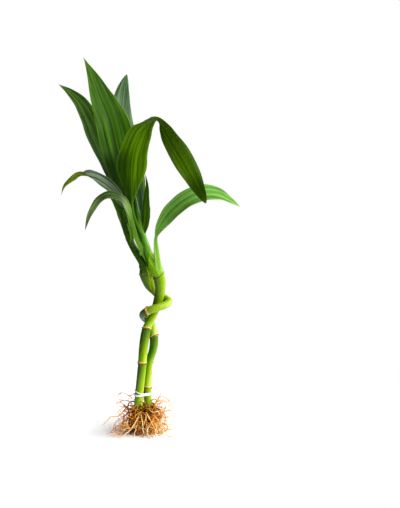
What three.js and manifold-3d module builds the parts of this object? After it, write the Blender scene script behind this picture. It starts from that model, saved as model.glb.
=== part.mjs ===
// Lucky bamboo: a nearly straight cane and a cane coiled once round it, tied low down with two turns
// of white thread and standing on their own splayed roots. Millimetres, +Z up, with the origin at the
// middle of the flat spot under the roots. The viewer stands on the -Y side.
import * as THREE from "three";
import { mergeVertices } from "three/addons/utils/BufferGeometryUtils.js";
import Module from "manifold-3d";

const wasm = await Module();
wasm.setup();

// ---- driving dimensions ----
const GAP = 0.3; // between pieces that touch

const RING_RISE = 0.65; // how proud a node ring stands of its cane
const RING_HALF_LENGTH = 1.2;
const RING_STEPS = [-1.5, -0.6, 0.6, 1.5]; // sections at a ring, in half lengths
const CANE_SIDES = 10;
const CANE_STEP = 9; // longest stretch between two sections of a cane

const BLADE_EDGE = 0.32; // half thickness at a leaf's margin
const BLADE_MIDDLE = 0.5; // half thickness at its midrib
const PETIOLE_DEPTH = 1.3; // half depth of a petiole
const PETIOLE_HALF_WIDTH = 1.8; // at its foot, where a leaf gives no footHalfWidth of its own
const TIP_HALF_WIDTH = 0.5;
const LEAF_STEPS = 20;
const LEAF_COLUMNS = 6; // even, so that one line of points runs along the midrib

const CORE = { x: 17, y: 15, z: 16, centre: 8 }; // the packed middle of the roots
const CORE_LUMP = 0.9;
const ROOT_RADIUS = 0.85;
const ROOT_TIP_RADIUS = 0.6;
const ROOT_SIDES = 3;
const ROOT_STEPS = 5;
const FOOT_ROOTS = [180, 62, -62]; // directions in degrees of the three long roots that it stands on
const FOOT_REACH = 40;
const FLOOR_ROOTS = 28; // run out just above the ground
const SIDE_ROOTS = 38; // stand out of the mass all round
const CROWN_ROOTS = 13; // curl up round the canes
const ROOT_SPREAD = 42;
const ROOT_SEED = 20;

const TIE_HEIGHT = 41.5;
const TIE_RADIUS = 0.8;
const TIE_STEPS = 32;
const TIE_SIDES = 6;
const STRAND_RADIUS = 0.55;
const STRAND_RISE = 4.4; // of the thin turn's left side above the thick one

// Points along each cane's axis from its cut foot to the end of its green shoot. Rings and radii are
// given at heights, which an axis passes only once.
const STRAIGHT_CANE = {
  name: "cane_straight",
  colour: 0x96be14,
  axis: [
    [-5.5, 1.5, 14], [-5.5, 1, 25], [-5, 0, 38], [-3, -2, 57], [-1, -3, 76], [0, -2, 90], [2, 0, 105],
    [4, 2, 113], [8, 4, 121], [11, 5, 128], [15, 4, 139], [18, 0, 154], [18, -3, 165], [16, -4, 173],
    [11.5, -3, 182], [6.5, -1, 191], [5, 0, 202], [3.8, 0, 212], [2.6, 0, 222],
  ],
  radii: [
    [14, 4.3], [38, 4.2], [76, 4.3], [105, 4.7], [121, 4.2], [154, 5.2], [165, 5.4], [182, 5],
    [202, 4.7], [222, 3.6],
  ],
  rings: [34, 76, 112, 133, 170],
};
const COILED_CANE = {
  name: "cane_coiled",
  colour: 0x8cb410,
  axis: [
    [6, 4.5, 12], [6, 4.5, 26], [5, 5, 39], [5, 5, 48], [6, 6, 61], [7, 7, 75], [10, 8, 88],
    [11, 10, 100], [9, 13, 111], [6, 15, 117], [1, 12, 122], [0, 3, 127], [4, -6, 132], [10, -10, 135],
    [16.5, -9.5, 137], [22.5, -6, 138.5], [26.3, 0.5, 140], [25.5, 8, 141], [20.5, 13.5, 143.5],
    [14, 14.5, 148], [8, 11, 155], [4, 7, 164], [2, 5, 172], [0, 4, 180], [-3.5, 5, 187],
    [-7.5, 6, 193.5], [-11.2, 7, 200], [-14.3, 8, 207], [-18.2, 9, 218],
  ],
  radii: [
    [12, 4], [48, 4.2], [75, 3.8], [102, 4.3], [132, 4.1], [164, 4.7], [172, 4.8], [180, 3.9],
    [200, 3.8], [218, 3.2],
  ],
  rings: [48, 75.5, 102, 133, 171, 180],
};

// Each leaf runs along its route from its foot on the shoot to its tip. faces are directions that the
// upper face looks in, spread evenly from foot to tip. The blade starts at petioleShare of the length,
// and rise and fall set how fast it widens and tapers.
const LEAVES = [
  {
    name: "leaf_tall", colour: 0x4f8a24,
    halfWidth: 19, petioleShare: 0.1, rise: 0.95, fall: 1.25,
    gutter: 0.16, pleat: 0.9, wave: 0.02,
    route: [
      [-17.1, 7.4, 219.7], [-18.5, 7, 236], [-19, 5, 257], [-21, 2, 282], [-27, 0, 310], [-33, 0, 334],
      [-42.5, 2, 356], [-52.5, 5, 380], [-61, 8, 397],
    ],
    faces: [[0.5, -0.8, 0.1], [0.35, -0.95, 0.1], [0.3, -0.95, 0.15], [0.35, -0.9, 0.2]],
  },
  {
    name: "leaf_left", colour: 0x467d22,
    halfWidth: 10.5, petioleShare: 0.12, rise: 0.9, fall: 1.05,
    gutter: 0.35, pleat: 0.25, wave: 0.03,
    route: [
      [-19.8, 10.6, 218.2], [-23, 14, 243], [-29, 17, 263], [-37, 21, 286], [-46, 26, 311],
      [-54, 30, 334], [-65, 34, 351], [-77, 37, 361], [-90, 40, 368],
    ],
    faces: [[0.6, -0.7, 0.1], [0.5, -0.85, 0.3], [0.35, -0.85, 0.45], [0.2, -0.75, 0.65]],
  },
  {
    name: "leaf_back_right", colour: 0x4c8058,
    halfWidth: 11.5, petioleShare: 0.2, rise: 0.9, fall: 0.95,
    gutter: 0.3, pleat: 0.3, wave: 0.03,
    route: [
      [4.6, 2.2, 223.2], [-0.5, 8, 236], [-7, 14, 250], [-14, 22, 274], [-18.5, 29, 299], [-22, 36, 325],
      [-22.5, 40, 342], [-21, 43, 357], [-19.5, 45, 367.5], [-17.5, 47, 377],
    ],
    faces: [[0, -1, 0.2], [0.15, -0.95, 0.3], [0.1, -0.95, 0.35], [-0.2, -0.9, 0.3]],
  },
  {
    name: "leaf_front", colour: 0x46730a,
    halfWidth: 15.5, petioleShare: 0.12, rise: 0.62, fall: 0.8,
    gutter: 0.18, pleat: 0.35, wave: 0.02,
    route: [
      [0.6, -1.8, 222.9], [-3.5, -7.5, 230], [-8, -14, 239], [-10.5, -22, 254], [-12, -29, 275],
      [-11, -35, 294], [-5, -40, 310], [2, -44, 322], [7, -47, 329], [12, -49, 333], [17, -50, 334.5],
      [21, -50, 332], [25, -50, 325], [30, -51, 314], [38, -51, 297], [47, -49, 282], [57, -46, 266],
      [65, -43, 251],
    ],
    faces: [
      [0.1, 0.95, 0.2], [0, 0.95, 0.25], [-0.05, 0.95, 0.3], [-0.2, 0.9, 0.4], [-0.1, 0.1, 1],
      [0.85, -0.3, 0.45], [0.7, -0.6, 0.35], [0.5, -0.85, 0.25], [0.5, -0.85, 0.25],
    ],
  },
  {
    name: "leaf_right", colour: 0x4a9020,
    halfWidth: 10, footHalfWidth: 3.2, petioleShare: 0.24, rise: 1.2, fall: 0.95,
    gutter: 0.22, pleat: 0.25, wave: 0.03,
    route: [
      [18, -12, 174.5], [16.4, -11.2, 182], [15.3, -11.2, 190], [14.6, -12, 198], [14, -13, 209],
      [16, -14, 217], [22, -15, 226], [31, -17, 235], [42, -18, 243.5], [54, -17, 250.5], [66, -14, 254.5],
      [79, -10, 254.5], [91, -6, 250], [102, -2, 242],
    ],
    faces: [
      [-0.7, -0.7, 0], [-0.6, -0.8, 0.1], [-0.35, -0.8, 0.5], [-0.1, -0.75, 0.65], [0.2, -0.6, 0.75],
    ],
  },
  {
    name: "leaf_droop_upper", colour: 0x5d7a50,
    halfWidth: 8, petioleShare: 0.3, rise: 0.8, fall: 0.75,
    gutter: 0.2, pleat: 0.35, wave: 0.02,
    route: [
      [-10.6, 1.7, 202.5], [-12.5, 1, 211], [-15.5, -0.5, 224], [-18.5, -3, 238], [-23, -6, 249],
      [-29, -10, 259], [-37, -15, 268], [-46, -19, 275], [-56, -22, 278], [-66, -24, 277],
      [-74, -26, 273], [-79, -27, 266], [-82, -27, 257],
    ],
    faces: [
      [0.5, -0.85, 0.1], [0.5, -0.8, 0.3], [0.25, -0.8, 0.6], [-0.1, -0.55, 0.8], [-0.5, -0.2, 0.8],
      [-0.8, -0.2, 0.5],
    ],
  },
  {
    name: "leaf_droop_lower", colour: 0x4d7a3a,
    halfWidth: 5.6, footHalfWidth: 2.5, petioleShare: 0.34, rise: 0.75, fall: 0.75,
    gutter: 0.2, pleat: 0.25, wave: 0.02,
    route: [
      [0.4, -5.2, 192], [-2.3, -5.8, 199.5], [-4.9, -7.5, 207.5], [-7.4, -11, 220], [-9.5, -17, 234],
      [-14, -24, 246], [-20.5, -30, 253], [-28.5, -36, 257], [-35.5, -39, 257], [-42, -42, 253],
      [-47.5, -44, 246], [-52, -45, 238], [-55, -46, 230], [-57, -46, 223],
    ],
    faces: [
      [0.4, -0.9, 0.1], [0.35, -0.8, 0.45], [0, -0.7, 0.7], [-0.5, -0.6, 0.6], [-0.85, -0.45, 0.25],
    ],
  },
  {
    name: "leaf_narrow", colour: 0x55901c,
    halfWidth: 5, petioleShare: 0.16, rise: 0.8, fall: 0.9,
    gutter: 0.55, pleat: 0, wave: 0.02,
    route: [
      [4.7, -2, 223.1], [3.2, -6.5, 232], [2, -10, 245], [3.5, -11.5, 256], [4.5, -10.5, 266],
      [3.5, -8, 277],
    ],
    faces: [[0.3, 0.9, 0.1], [0.6, 0.75, 0.2], [0.75, 0.6, 0.2], [0.8, 0.5, 0.2]],
  },
  {
    name: "leaf_back", colour: 0x3f7a1e,
    halfWidth: 12, petioleShare: 0.16, rise: 0.8, fall: 0.9,
    gutter: 0.2, pleat: 0.3, wave: 0.03,
    route: [
      [0.5, 2.4, 222.8], [-4, 12.5, 234], [-7, 24, 252], [-11, 39, 268], [-15, 56, 280],
      [-19, 74, 284], [-22, 90, 279],
    ],
    faces: [[0, -1, 0.2], [0, -0.8, 0.6], [0.05, -0.4, 0.9], [0.05, 0.1, 1], [0, 0.5, 0.8]],
  },
  {
    name: "leaf_folded", colour: 0x35661a,
    halfWidth: 6.5, petioleShare: 0.14, rise: 0.7, fall: 0.8,
    gutter: 0.45, pleat: 0, wave: 0.02,
    route: [
      [-17.2, 11.8, 204], [-20, 14.5, 213], [-24.5, 19, 226], [-29.5, 27, 238], [-34, 37, 246],
      [-38, 50, 248], [-41, 62, 243],
    ],
    faces: [[0.9, -0.3, 0.1], [0.8, -0.4, 0.4], [0.7, -0.4, 0.6], [0.5, 0, 0.85], [0.4, 0.4, 0.8]],
  },
];

// ---- helpers ----
const vec = (p) => new THREE.Vector3(...p);
const mix = (a, b, share) => a + (b - a) * share;

function routeCurve(points) {
  return new THREE.CatmullRomCurve3(points.map(vec), false, "centripetal");
}

// A value from a list of [position, value] pairs, eased between them.
function valueAt(pairs, position) {
  const next = pairs.findIndex(([at]) => at > position);
  if (next === 0) return pairs[0][1];
  if (next < 0) return pairs[pairs.length - 1][1];
  const [a, from] = pairs[next - 1];
  const [b, to] = pairs[next];
  return mix(from, to, THREE.MathUtils.smoothstep(position, a, b));
}

// A direction from an evenly spread list.
function directionAt(list, share) {
  const place = share * (list.length - 1);
  const first = Math.min(Math.floor(place), list.length - 2);
  return vec(list[first]).lerp(vec(list[first + 1]), place - first).normalize();
}

// A small repeatable random source.
function randomFrom(seed) {
  let state = seed;
  return () => {
    state = (state + 0x6d2b79f5) | 0;
    let t = Math.imul(state ^ (state >>> 15), 1 | state);
    t = (t + Math.imul(t ^ (t >>> 7), 61 | t)) ^ t;
    return ((t ^ (t >>> 14)) >>> 0) / 4294967296;
  };
}

// Triangles that close a ring of points, zigzagging across from its first and last points.
function capTriangles(size) {
  const triangles = [];
  let low = 0;
  let high = size - 1;
  while (high - low > 1) {
    triangles.push([low, low + 1, high]);
    low += 1;
    if (high - low > 1) {
      triangles.push([low, high - 1, high]);
      high -= 1;
    }
  }
  return triangles;
}

function signedVolume(points, triangles) {
  return triangles.reduce((sum, [a, b, c]) => {
    return sum + points[a].dot(new THREE.Vector3().crossVectors(points[b], points[c])) / 6;
  }, 0);
}

// A closed solid through rings of points, either capped at both ends or joined end to end. The second
// half of a ring is split the other way, so that the two faces of a blade bend alike.
function loft(rings, endless = false) {
  const size = rings[0].length;
  const points = rings.flat();
  const triangles = [];
  const last = endless ? rings.length : rings.length - 1;
  for (let i = 0; i < last; i += 1) {
    const here = i * size;
    const there = ((i + 1) % rings.length) * size;
    for (let j = 0; j < size; j += 1) {
      const next = (j + 1) % size;
      if (j < size / 2) {
        triangles.push([here + j, there + j, there + next]);
        triangles.push([here + j, there + next, here + next]);
      } else {
        triangles.push([here + j, there + j, here + next]);
        triangles.push([here + next, there + j, there + next]);
      }
    }
  }
  if (!endless) {
    const end = (rings.length - 1) * size;
    for (const [a, b, c] of capTriangles(size)) {
      triangles.push([a, b, c]);
      triangles.push([end + a, end + c, end + b]);
    }
  }
  if (signedVolume(points, triangles) < 0) triangles.forEach((t) => t.reverse());
  const geometry = new THREE.BufferGeometry().setFromPoints(points);
  geometry.setIndex(triangles.flat());
  return geometry;
}

// Rings round an axis, turned as little as possible from one to the next.
function tubeRings(places, radii, sides) {
  const rings = [];
  let side = new THREE.Vector3(1, 0, 0);
  places.forEach((place, i) => {
    const before = places[Math.max(i - 1, 0)];
    const after = places[Math.min(i + 1, places.length - 1)];
    const along = after.clone().sub(before).normalize();
    if (i === 0 && Math.abs(along.x) > 0.9) side = new THREE.Vector3(0, 1, 0);
    side = side.clone().addScaledVector(along, -side.dot(along)).normalize();
    const other = new THREE.Vector3().crossVectors(along, side);
    const ring = [];
    for (let j = 0; j < sides; j += 1) {
      const angle = (2 * Math.PI * j) / sides;
      const point = place.clone().addScaledVector(side, radii[i] * Math.cos(angle));
      ring.push(point.addScaledVector(other, radii[i] * Math.sin(angle)));
    }
    rings.push(ring);
  });
  return rings;
}

function solid(geometry) {
  const merged = mergeVertices(geometry.clone().deleteAttribute("normal").deleteAttribute("uv"), 1e-4);
  const vertProperties = new Float32Array(merged.attributes.position.array);
  const triVerts = new Uint32Array(merged.index.array);
  return new wasm.Manifold(new wasm.Mesh({ numProp: 3, vertProperties, triVerts }));
}

function geometryOf(body) {
  const mesh = body.getMesh();
  const geometry = new THREE.BufferGeometry();
  geometry.setAttribute("position", new THREE.BufferAttribute(mesh.vertProperties, 3));
  geometry.setIndex(new THREE.BufferAttribute(mesh.triVerts, 1));
  return geometry;
}

function largestPiece(body) {
  return body.decompose().reduce((best, piece) => (piece.volume() > best.volume() ? piece : best));
}

function named(name, geometry, colour, roughness) {
  const material = new THREE.MeshStandardMaterial({ color: colour, roughness, metalness: 0 });
  const mesh = new THREE.Mesh(geometry, material);
  mesh.name = name;
  return mesh;
}

// ---- canes ----
// The share of an axis's length at which it reaches a height.
function shareAtHeight(curve, height) {
  let low = 0;
  let high = 1;
  for (let i = 0; i < 30; i += 1) {
    const middle = (low + high) / 2;
    if (curve.getPointAt(middle).z < height) low = middle;
    else high = middle;
  }
  return (low + high) / 2;
}

// Sections sit close together at each ring and further apart between the rings.
function caneGeometry(cane, extra = 0) {
  const curve = routeCurve(cane.axis);
  const length = curve.getLength();
  const rings = cane.rings.map((height) => shareAtHeight(curve, height) * length);
  const steps = RING_STEPS.map((step) => step * RING_HALF_LENGTH);
  const ringPlaces = rings.flatMap((at) => steps.map((step) => at + step));
  const stops = [0, ...ringPlaces, length];
  const stations = [];
  for (let i = 0; i < stops.length - 1; i += 1) {
    const count = Math.ceil((stops[i + 1] - stops[i]) / CANE_STEP);
    for (let j = 0; j < count; j += 1) stations.push(mix(stops[i], stops[i + 1], j / count));
  }
  stations.push(length);
  const places = stations.map((at) => curve.getPointAt(Math.min(at / length, 1)));
  const radii = stations.map((at, i) => {
    const nearest = Math.min(...rings.map((ring) => Math.abs(at - ring)));
    const rise = RING_RISE * Math.exp(-((nearest / RING_HALF_LENGTH) ** 2));
    return valueAt(cane.radii, places[i].z) + rise + extra;
  });
  if (extra > 0) {
    places[0].addScaledVector(curve.getTangentAt(0), -extra);
  }
  return loft(tubeRings(places, radii, CANE_SIDES));
}

// ---- leaves ----
function bladeShare(leaf, share) {
  const along = (share - leaf.petioleShare) / (1 - leaf.petioleShare);
  if (along <= 0 || along >= 1) return 0;
  const peak = leaf.rise / (leaf.rise + leaf.fall);
  const top = peak ** leaf.rise * (1 - peak) ** leaf.fall;
  return (along ** leaf.rise * (1 - along) ** leaf.fall) / top;
}

function leafGeometry(leaf) {
  const curve = routeCurve(leaf.route);
  const rings = [];
  for (let i = 0; i <= LEAF_STEPS; i += 1) {
    const share = i / LEAF_STEPS;
    const place = curve.getPointAt(share);
    const along = curve.getTangentAt(share);
    const across = new THREE.Vector3().crossVectors(along, directionAt(leaf.faces, share)).normalize();
    const up = new THREE.Vector3().crossVectors(across, along);
    const blade = bladeShare(leaf, share);
    const petiole = Math.max(1 - share / (leaf.petioleShare + 0.12), 0);
    const stalk = mix(TIP_HALF_WIDTH, leaf.footHalfWidth ?? PETIOLE_HALF_WIDTH, Math.sqrt(petiole));
    const halfWidth = Math.max(leaf.halfWidth * blade, stalk);
    const upper = [];
    const lower = [];
    for (let j = 0; j <= LEAF_COLUMNS; j += 1) {
      const u = (2 * j) / LEAF_COLUMNS - 1;
      const pleat = leaf.pleat * blade * (j % 2 === 0 ? 1 : -1) * (Math.abs(u) < 1 ? 1 : 0.3);
      const wave = leaf.wave * halfWidth * u * u * Math.sin(share * 21 + 2 * u);
      const lift = leaf.gutter * halfWidth * blade * Math.abs(u) ** 1.3 + pleat + wave * 2;
      const flat = mix(BLADE_MIDDLE, BLADE_EDGE, Math.abs(u));
      const round = PETIOLE_DEPTH * Math.sqrt(1 - u * u * 0.9);
      const half = mix(flat, round, Math.max(petiole - blade, 0));
      const middle = place.clone().addScaledVector(across, u * halfWidth).addScaledVector(up, lift);
      upper.push(middle.clone().addScaledVector(up, half));
      lower.unshift(middle.clone().addScaledVector(up, -half));
    }
    rings.push([...upper, ...lower]);
  }
  return loft(rings);
}

// ---- roots ----
function rootGeometry(points) {
  const curve = routeCurve(points);
  const places = [];
  const radii = [];
  for (let i = 0; i <= ROOT_STEPS; i += 1) {
    const share = i / ROOT_STEPS;
    places.push(curve.getPointAt(share));
    radii.push(mix(ROOT_RADIUS, ROOT_TIP_RADIUS, share));
  }
  return loft(tubeRings(places, radii, ROOT_SIDES));
}

// One root from the middle of the mass outwards. reach and heights are given from start to tip.
function rootPoints(azimuth, reach, heights, random) {
  let heading = azimuth;
  return reach.map((distance, i) => {
    if (i > 0) heading += (random() - 0.5) * 0.55;
    return [distance * Math.cos(heading), distance * Math.sin(heading), heights[i]];
  });
}

function rootMassGeometry() {
  const random = randomFrom(ROOT_SEED);
  const between = (low, high) => mix(low, high, random());
  const core = new THREE.SphereGeometry(1, 20, 12);
  const spots = core.attributes.position;
  for (let i = 0; i < spots.count; i += 1) {
    const spot = new THREE.Vector3().fromBufferAttribute(spots, i);
    const turn = Math.atan2(spot.y, spot.x);
    const lump = CORE_LUMP * Math.sin(5 * turn + 4 * spot.z) * Math.hypot(spot.x, spot.y);
    spots.setXYZ(i, spot.x * (CORE.x + lump), spot.y * (CORE.y + lump), spot.z * CORE.z + CORE.centre);
  }
  let mass = solid(core);
  const add = (points) => {
    mass = mass.add(solid(rootGeometry(points)));
  };
  const around = (count) => Array.from({ length: count }, (_, k) => ((k + random()) * 2 * Math.PI) / count);
  for (const direction of FOOT_ROOTS) {
    const azimuth = THREE.MathUtils.degToRad(direction);
    const reach = [9, 16, FOOT_REACH * 0.7, FOOT_REACH * 0.88, FOOT_REACH];
    add(rootPoints(azimuth, reach, [12, 12, 2.5, 0.8, 0.25], () => 0.5));
  }
  for (const azimuth of around(FLOOR_ROOTS)) {
    const end = between(0.68, 1) * ROOT_SPREAD;
    const start = between(7, 16);
    const heights = [start, start, 2.6, 1.2, 1.1];
    add(rootPoints(azimuth, [9, 16, end * 0.7, end * 0.88, end], heights, random));
  }
  for (const azimuth of around(SIDE_ROOTS)) {
    const end = between(0.6, 0.95) * ROOT_SPREAD;
    const start = between(8, 22);
    const middle = start + between(0, 11);
    const tip = Math.max(middle + between(-14, 6), 2);
    const heights = [start, start + 2, middle, mix(middle, tip, 0.4), tip];
    add(rootPoints(azimuth, [8, 14, end * 0.7, end * 0.86, end], heights, random));
  }
  for (const azimuth of around(CROWN_ROOTS)) {
    const end = between(16, 26);
    const top = between(28, 38);
    const heights = [16, 22, mix(22, top, 0.7), top];
    add(rootPoints(azimuth, [11, 13, 16, end], heights, random));
  }
  const size = 4 * ROOT_SPREAD;
  const aboveGround = new THREE.BoxGeometry(size, size, size).translate(0, 0, size / 2);
  mass = mass.intersect(solid(aboveGround));
  for (const cane of [STRAIGHT_CANE, COILED_CANE]) mass = mass.subtract(solid(caneGeometry(cane, GAP)));
  return geometryOf(largestPiece(mass));
}

// ---- tie ----
// A closed turn of thread round both canes. heightAt gives its height for each direction it faces.
function turnGeometry(radius, heightAt) {
  const canes = [STRAIGHT_CANE, COILED_CANE].map((cane) => ({ ...cane, curve: routeCurve(cane.axis) }));
  const rings = [];
  for (let i = 0; i < TIE_STEPS; i += 1) {
    const angle = (2 * Math.PI * i) / TIE_STEPS;
    const out = new THREE.Vector3(Math.cos(angle), Math.sin(angle), 0);
    const height = heightAt(angle);
    const places = canes.map((cane) => {
      const reach = valueAt(cane.radii, height) + 1.3 * GAP + radius;
      return cane.curve.getPointAt(shareAtHeight(cane.curve, height)).addScaledVector(out, reach);
    });
    const place = places[0].dot(out) > places[1].dot(out) ? places[0] : places[1];
    const ring = [];
    for (let j = 0; j < TIE_SIDES; j += 1) {
      const turn = (2 * Math.PI * j) / TIE_SIDES;
      const point = place.clone().addScaledVector(out, radius * Math.cos(turn));
      ring.push(point.setZ(place.z + radius * Math.sin(turn)));
    }
    rings.push(ring);
  }
  return loft(rings, true);
}

function tieGeometry() {
  const low = turnGeometry(TIE_RADIUS, (angle) => TIE_HEIGHT - 0.8 * Math.max(-Math.sin(angle), 0));
  const lean = (angle) => (STRAND_RISE * (1 - Math.cos(angle))) / 2;
  const high = turnGeometry(STRAND_RADIUS, (angle) => TIE_HEIGHT + lean(angle));
  return geometryOf(solid(low).add(solid(high)));
}

// ---- assembly ----
const plant = new THREE.Group();
for (const cane of [STRAIGHT_CANE, COILED_CANE]) {
  plant.add(named(cane.name, caneGeometry(cane), cane.colour, 0.35));
}
for (const leaf of LEAVES) plant.add(named(leaf.name, leafGeometry(leaf), leaf.colour, 0.45));
plant.add(named("root_mass", rootMassGeometry(), 0xcd781e, 0.8));
plant.add(named("tie", tieGeometry(), 0xf2f0e8, 0.7));

export default plant;
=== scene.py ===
import math

import bpy
import numpy as np
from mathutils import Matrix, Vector


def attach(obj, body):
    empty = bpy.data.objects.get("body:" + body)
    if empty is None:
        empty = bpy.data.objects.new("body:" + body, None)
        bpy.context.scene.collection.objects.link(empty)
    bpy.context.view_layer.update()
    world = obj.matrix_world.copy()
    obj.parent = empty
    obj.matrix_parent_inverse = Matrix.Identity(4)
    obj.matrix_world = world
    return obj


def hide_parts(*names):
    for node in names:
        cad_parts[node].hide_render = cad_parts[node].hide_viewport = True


# Lucky bamboo: a straight cane and a cane coiled round it, with ten leaves, wiry roots and a white tie.
# Shapes are given in millimetres, with the viewer on the -Y side, and become metres in the meshes.
# Distances in materials and in the setting are in metres, and colours go from 0 to 255.

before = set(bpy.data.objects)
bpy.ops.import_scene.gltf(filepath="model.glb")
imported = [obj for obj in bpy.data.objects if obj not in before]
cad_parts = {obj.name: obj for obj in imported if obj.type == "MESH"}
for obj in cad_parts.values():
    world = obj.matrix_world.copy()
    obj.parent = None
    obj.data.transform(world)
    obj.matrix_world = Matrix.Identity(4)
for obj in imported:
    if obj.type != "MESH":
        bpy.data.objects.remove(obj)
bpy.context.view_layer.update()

MM = 0.001
ROUTE_STEPS = 60  # places along a curve between two of its points
NO_CHANGE = (0, 1, 0)  # a hump or a change without any amount

# ---- camera: the photograph's angle ----
CAMERA_AIM = (0.060, 0.0, 0.192)
CAMERA_DISTANCE = 1.6
CAMERA_ELEVATION = math.radians(8)
CAMERA_SENSOR, CAMERA_LENS = 36, 108  # in millimetres

# ---- light ----
FLOOR_RADIUS = 0.34
FLOOR_TONES = (248, 248, 248), (252, 252, 252)
WORLD_FROM = (0.8, -0.3, 0.52)  # its brightest side
WORLD_DARK, WORLD_BRIGHT = 0.16, 0.45
SUN_LIGHT = 4.0
SUN_FROM = (0.8, -0.5, 0.62)
SUN_WIDTH = math.radians(85)
LAMP_AIM = (0, 0, 0.2)
LAMPS = {"softbox": ((1.0, -0.9, 0.8), 0.5, 8), "side": ((1.3, 0.5, 0.5), 0.8, 12)}  # place, width, power

# ---- canes ----
CANE_SIDES, CANE_STEP = 44, 0.8
RING_REACH, RING_STEP = 3.0, 0.14  # sections are closer together this far round a ring
RIDGE_RISE, RIDGE_WIDTH = 0.75, 0.5  # the ring itself
SWELL_RISE, SWELL_WIDTH = 0.22, 2.2  # the skin towards the ring
NUB_WIDTH = 24  # in degrees
FAR_FROM_RINGS = 99.0
SHEATH_RISE = 0.45
UNDER_SHEATH = 1.6  # how far away a covered ring seems
CONTACT_GAP, CONTACT_REACH = 0.3, 1.7  # from the other cane, where the painted shade between the canes is darkest and where it ends
GAP_STRIDE = 10  # one in so many of a cane's close points is enough
PAINTED_CONTACT_SHADE_STRENGTH = 0.9
BELOW_START, ABOVE_END = 12, 20  # of the cane, for its first and last internode
BASE_TONE = 0.13  # how dark a cane is just above a ring
PAINTED_SIDE_SHADE = 0.44  # painted shade and light: how much darker a cane is on its left, and lighter on its right, than in the middle
SCAR_STRETCH = (1, 1, 0.42)  # a scar is longer up the cane than round it

STREAK_LIGHT, STREAK_DARK = (186, 208, 70), (48, 88, 0)
SPECK_COLOUR = (66, 88, 4)
WAX_COLOUR = (206, 214, 140)
BARE_RING_COLOUR = (24, 46, 2)
CORK_TONES = [(0.3, (80, 38, 8)), (0.5, (150, 82, 24)), (0.75, (206, 150, 84))]
# the colour of the painted shade between the canes
PAINTED_CONTACT_SHADE_COLOUR = (12, 32, 0)

# Each cane: its line (axis), its radius by height, and its rings with their height, cork (bark) and tilt, or
# the azimuths of the nubs they show only. The shoot starts at a height, and a sheath in the tones of husk is
# wrapped round the cane. The tones run from just above a ring, at 0, towards the next one, as far as depths
# says for each internode, and less far from one height to another in bright. scars are places in metres.
STRAIGHT_CANE = dict(
    seed=1.0,
    axis=[
        (-5.5, 1.5, 14), (-5.5, 1, 25), (-5, 0, 38), (-3, -2, 57), (-1, -3, 76), (0, -2, 90), (2, 0, 105),
        (4, 2, 113), (8, 4, 121), (11, 5, 128), (15, 4, 139), (18, 0, 154), (17.5, -3, 165), (15.3, -4, 173),
        (10.9, -3, 182), (5.8, -1.5, 190), (2.4, -0.5, 200), (-1, -0.2, 211), (-4, -0.6, 222),
        (-5.7, -1, 233), (-7, -1.2, 244), (-8.2, -1, 256),
    ],
    radii=[
        (14, 4.5), (38, 4.5), (76, 4.6), (105, 4.9), (121, 4.3), (154, 5.3), (165, 6.1), (173, 6.4),
        (182, 6.2), (192, 5.5), (202, 5), (211, 4.7), (222, 4.2), (233, 3.7), (244, 2.6), (256, 0.4),
    ],
    rings=[
        dict(height=29, bark=0.3), dict(height=76, bark=1, tilt=(0.03, 0)),
        dict(height=112, bark=1, tilt=(-0.1, 0)), dict(height=133, bark=0.3, nubs=(90, -90)),
        dict(height=170, bark=0.12, tilt=(-0.25, 0)),
    ],
    shoot=170,
    sheath=dict(low=171, high=200, middle=-40, half=150, narrowing=0.95),
    tones=[
        (0, (154, 178, 50)), (0.12, (134, 166, 16)), (0.4, (102, 138, 2)), (0.7, (66, 100, 0)),
        (0.9, (52, 82, 0)), (1, (42, 70, 0)),
    ],
    shoot_tones=[
        (0, (112, 160, 20)), (0.2, (92, 144, 16)), (0.4, (58, 108, 12)), (0.7, (28, 68, 4)),
        (1, (20, 54, 0)),
    ],
    depths=(0.4, 0.55, 0.9, 1, 1),
    bright=(125, 160, 0.52),
    husk=[(0.3, (84, 138, 4)), (0.55, (112, 164, 10)), (0.75, (142, 188, 30))],
)
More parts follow.
